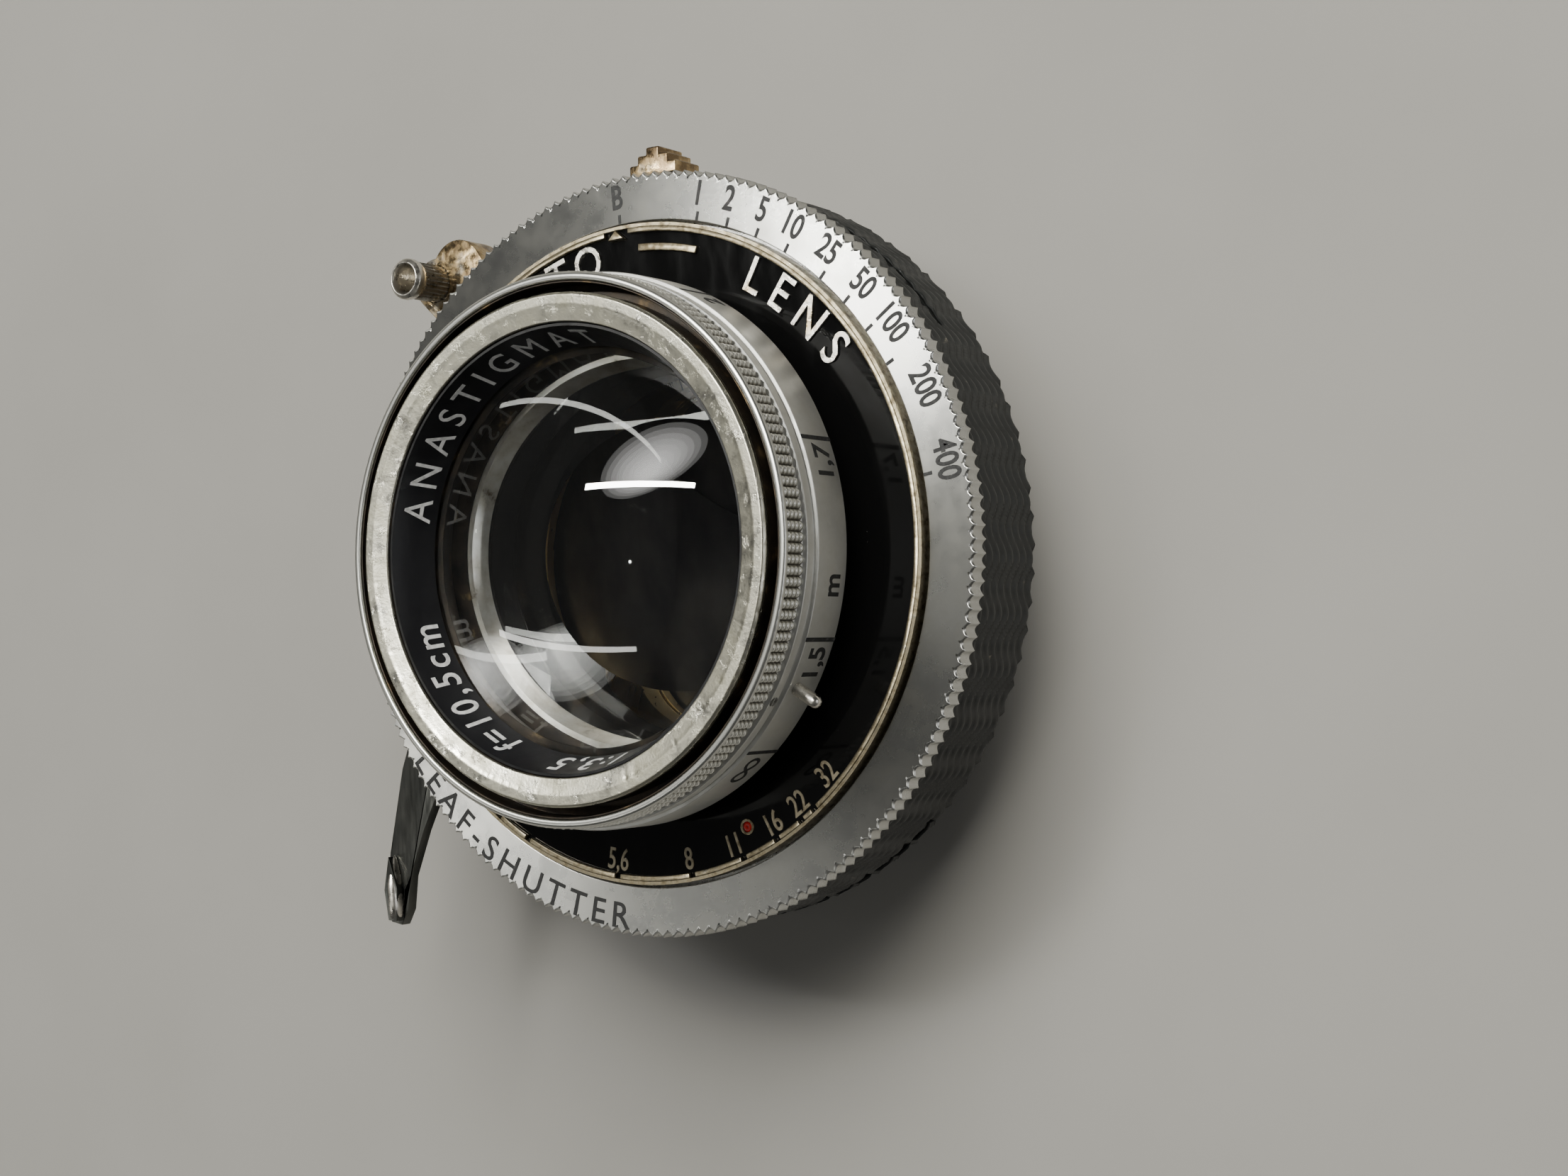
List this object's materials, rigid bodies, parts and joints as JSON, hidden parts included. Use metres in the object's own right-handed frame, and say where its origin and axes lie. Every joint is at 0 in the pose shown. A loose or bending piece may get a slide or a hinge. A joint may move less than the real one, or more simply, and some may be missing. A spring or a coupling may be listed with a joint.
{
  "type": "lens in leaf shutter",
  "caption": "Front-cell focusing lens in a rim-set leaf shutter, with speed ring, iris lever, cocking and release levers and a rear mounting thread.",
  "frame": {"origin": "on the optical axis, in the plane of the case's back, where the mounting thread starts", "axes": "+Z along the optical axis out of the front of the lens, +Y through the shutter's index mark"},
  "size_m": [0.0631, 0.062, 0.0303],
  "materials": {
    "case_black": "matt black enamel over a ribbed side",
    "black_brass": "brass blackened all over",
    "nickel": "nickel plate, worn at the edges",
    "worn_brass": "nickel plate worn through to brass",
    "plate_brass": "fine-grained mechanism brass",
    "blade_black": "blued black spring steel",
    "glass": "polished optical glass",
    "face_lacquer": "gloss black lacquer",
    "rim_brass": "dull nickelled brass",
    "satin_aluminium": "satin silver, fine turned grain",
    "name_black": "satin black with white letters",
    "dark_steel": "blued steel, polished edges",
    "retainer_silver": "bright turned ring",
    "inner_steel": "plain steel"
  },
  "bodies": {
    "shutter": {"shutter_case": "case_black", "mount_tube": "black_brass", "locating_screw": "inner_steel", "cable_lug": "worn_brass", "cable_socket": "nickel", "blade_plate": "plate_brass", "iris_pivots": "inner_steel", "shutter_pivots": "inner_steel", "works_plate": "plate_brass", "main_spring": "inner_steel", "release_pivot": "inner_steel", "release_spring": "inner_steel", "train_arbors": "inner_steel", "train_bridge": "plate_brass", "faceplate": "face_lacquer", "face_rim": "rim_brass", "face_scale": "rim_brass", "middle_cell": "black_brass", "middle_element": "glass", "middle_retainer": "retainer_silver", "rear_cell": "black_brass", "rear_element_front": "glass", "rear_element_back": "glass", "rear_retainer": "retainer_silver"},
    "speed_ring": {"speed_ring": "satin_aluminium", "speed_cam": "inner_steel"},
    "aperture": {"aperture_ring": "plate_brass", "aperture_lever": "nickel"},
    "iris_01": {"iris_blade_01": "blade_black"},
    "iris_02": {"iris_blade_02": "blade_black"},
    "iris_03": {"iris_blade_03": "blade_black"},
    "iris_04": {"iris_blade_04": "blade_black"},
    "iris_05": {"iris_blade_05": "blade_black"},
    "iris_06": {"iris_blade_06": "blade_black"},
    "iris_07": {"iris_blade_07": "blade_black"},
    "iris_08": {"iris_blade_08": "blade_black"},
    "iris_09": {"iris_blade_09": "blade_black"},
    "iris_10": {"iris_blade_10": "blade_black"},
    "blade_ring": {"blade_ring": "plate_brass"},
    "shutter_leaf_1": {"shutter_blade_1": "blade_black"},
    "shutter_leaf_2": {"shutter_blade_2": "blade_black"},
    "shutter_leaf_3": {"shutter_blade_3": "blade_black"},
    "shutter_leaf_4": {"shutter_blade_4": "blade_black"},
    "shutter_leaf_5": {"shutter_blade_5": "blade_black"},
    "cocking": {"cocking_ring": "plate_brass", "cocking_lever": "nickel"},
    "release": {"release_lever": "dark_steel"},
    "retard_sector": {"retard_sector": "plate_brass"},
    "retard_wheel": {"retard_wheel": "plate_brass"},
    "star_wheel": {"star_wheel": "inner_steel"},
    "pallet_anchor": {"pallet_anchor": "inner_steel"},
    "front_glass": {"front_element": "glass"},
    "front_mount": {"front_cell": "satin_aluminium", "name_ring": "name_black", "focus_ring": "satin_aluminium", "focus_screws": "inner_steel", "stop_pin": "nickel"}
  },
  "joints": [
    {"name": "speed_turn", "type": "hinge", "parent": "shutter", "child": "speed_ring", "pos_m": [0, 0, 0], "axis": [0, 0, 1], "range_deg": [0, 83.4]},
    {"name": "aperture_turn", "type": "hinge", "parent": "shutter", "child": "aperture", "pos_m": [0, 0, 0], "axis": [0, 0, 1], "range_deg": [0, 74.5]},
    {"name": "iris_turn_01", "type": "hinge", "parent": "shutter", "child": "iris_01", "pos_m": [0.017, 0, 0], "axis": [0, 0, 1], "range_deg": [-0.1, 36.8]},
    {"name": "iris_turn_02", "type": "hinge", "parent": "shutter", "child": "iris_02", "pos_m": [0.01375, 0.00999, 0], "axis": [0, 0, 1], "range_deg": [-0.1, 36.8]},
    {"name": "iris_turn_03", "type": "hinge", "parent": "shutter", "child": "iris_03", "pos_m": [0.00525, 0.01617, 0], "axis": [0, 0, 1], "range_deg": [-0.1, 36.8]},
    {"name": "iris_turn_04", "type": "hinge", "parent": "shutter", "child": "iris_04", "pos_m": [-0.00525, 0.01617, 0], "axis": [0, 0, 1], "range_deg": [-0.1, 36.8]},
    {"name": "iris_turn_05", "type": "hinge", "parent": "shutter", "child": "iris_05", "pos_m": [-0.01375, 0.00999, 0], "axis": [0, 0, 1], "range_deg": [-0.1, 36.8]},
    {"name": "iris_turn_06", "type": "hinge", "parent": "shutter", "child": "iris_06", "pos_m": [-0.017, 0, 0], "axis": [0, 0, 1], "range_deg": [-0.1, 36.8]},
    {"name": "iris_turn_07", "type": "hinge", "parent": "shutter", "child": "iris_07", "pos_m": [-0.01375, -0.00999, 0], "axis": [0, 0, 1], "range_deg": [-0.1, 36.8]},
    {"name": "iris_turn_08", "type": "hinge", "parent": "shutter", "child": "iris_08", "pos_m": [-0.00525, -0.01617, 0], "axis": [0, 0, 1], "range_deg": [-0.1, 36.8]},
    {"name": "iris_turn_09", "type": "hinge", "parent": "shutter", "child": "iris_09", "pos_m": [0.00525, -0.01617, 0], "axis": [0, 0, 1], "range_deg": [-0.1, 36.8]},
    {"name": "iris_turn_10", "type": "hinge", "parent": "shutter", "child": "iris_10", "pos_m": [0.01375, -0.00999, 0], "axis": [0, 0, 1], "range_deg": [-0.1, 36.8]},
    {"name": "blade_ring_turn", "type": "hinge", "parent": "shutter", "child": "blade_ring", "pos_m": [0, 0, 0], "axis": [0, 0, 1], "range_deg": [0, 8]},
    {"name": "leaf_turn_1", "type": "hinge", "parent": "shutter", "child": "shutter_leaf_1", "pos_m": [0.0175, 0, 0], "axis": [0, 0, 1], "range_deg": [-41.7, 0.2]},
    {"name": "leaf_turn_2", "type": "hinge", "parent": "shutter", "child": "shutter_leaf_2", "pos_m": [0.00541, 0.01664, 0], "axis": [0, 0, 1], "range_deg": [-41.7, 0.2]},
    {"name": "leaf_turn_3", "type": "hinge", "parent": "shutter", "child": "shutter_leaf_3", "pos_m": [-0.01416, 0.01029, 0], "axis": [0, 0, 1], "range_deg": [-41.7, 0.2]},
    {"name": "leaf_turn_4", "type": "hinge", "parent": "shutter", "child": "shutter_leaf_4", "pos_m": [-0.01416, -0.01029, 0], "axis": [0, 0, 1], "range_deg": [-41.7, 0.2]},
    {"name": "leaf_turn_5", "type": "hinge", "parent": "shutter", "child": "shutter_leaf_5", "pos_m": [0.00541, -0.01664, 0], "axis": [0, 0, 1], "range_deg": [-41.7, 0.2]},
    {"name": "cocking_turn", "type": "hinge", "parent": "shutter", "child": "cocking", "pos_m": [0, 0, 0], "axis": [0, 0, 1], "range_deg": [-50, 0]},
    {"name": "release_turn", "type": "hinge", "parent": "shutter", "child": "release", "pos_m": [-0.0226, -0.004, 0], "axis": [0, 0, 1], "range_deg": [0, 9]},
    {"name": "retard_turn", "type": "hinge", "parent": "shutter", "child": "retard_sector", "pos_m": [0.02196, -0.00387, 0], "axis": [0, 0, 1], "range_deg": [0, 24]},
    {"name": "retard_wheel_turn", "type": "hinge", "parent": "shutter", "child": "retard_wheel", "pos_m": [0.01983, -0.0102, 0], "axis": [0, 0, 1], "range_deg": [-67.4, 0.2]},
    {"name": "star_turn", "type": "hinge", "parent": "shutter", "child": "star_wheel", "pos_m": [0.01616, -0.01536, 0], "axis": [0, 0, 1], "range_deg": [-0.5, 175.2]},
    {"name": "anchor_turn", "type": "hinge", "parent": "shutter", "child": "pallet_anchor", "pos_m": [0.01275, -0.0183, 0], "axis": [0, 0, 1], "range_deg": [-3, 3]},
    {"name": "focus_travel", "type": "slide", "parent": "shutter", "child": "front_glass", "axis": [0, 0, 1], "range_m": [-0.00123, 0.00064]},
    {"name": "focus_turn", "type": "hinge", "parent": "front_glass", "child": "front_mount", "pos_m": [0, 0, 0], "axis": [0, 0, 1], "range_deg": [-220.4, 113.3]}
  ],
  "couplings": [
    {"joint": "iris_turn_01", "follows": "aperture_turn", "ratio": 0.49262},
    {"joint": "iris_turn_02", "follows": "aperture_turn", "ratio": 0.49262},
    {"joint": "iris_turn_03", "follows": "aperture_turn", "ratio": 0.49262},
    {"joint": "iris_turn_04", "follows": "aperture_turn", "ratio": 0.49262},
    {"joint": "iris_turn_05", "follows": "aperture_turn", "ratio": 0.49262},
    {"joint": "iris_turn_06", "follows": "aperture_turn", "ratio": 0.49262},
    {"joint": "iris_turn_07", "follows": "aperture_turn", "ratio": 0.49262},
    {"joint": "iris_turn_08", "follows": "aperture_turn", "ratio": 0.49262},
    {"joint": "iris_turn_09", "follows": "aperture_turn", "ratio": 0.49262},
    {"joint": "iris_turn_10", "follows": "aperture_turn", "ratio": 0.49262},
    {"joint": "leaf_turn_1", "follows": "blade_ring_turn", "ratio": -5.1875},
    {"joint": "leaf_turn_2", "follows": "blade_ring_turn", "ratio": -5.1875},
    {"joint": "leaf_turn_3", "follows": "blade_ring_turn", "ratio": -5.1875},
    {"joint": "leaf_turn_4", "follows": "blade_ring_turn", "ratio": -5.1875},
    {"joint": "leaf_turn_5", "follows": "blade_ring_turn", "ratio": -5.1875},
    {"joint": "retard_wheel_turn", "follows": "retard_turn", "ratio": -2.8},
    {"joint": "star_turn", "follows": "retard_turn", "ratio": 7.28},
    {"joint": "focus_travel", "follows": "focus_turn", "m_per_rad": 0.00031831}
  ]
}
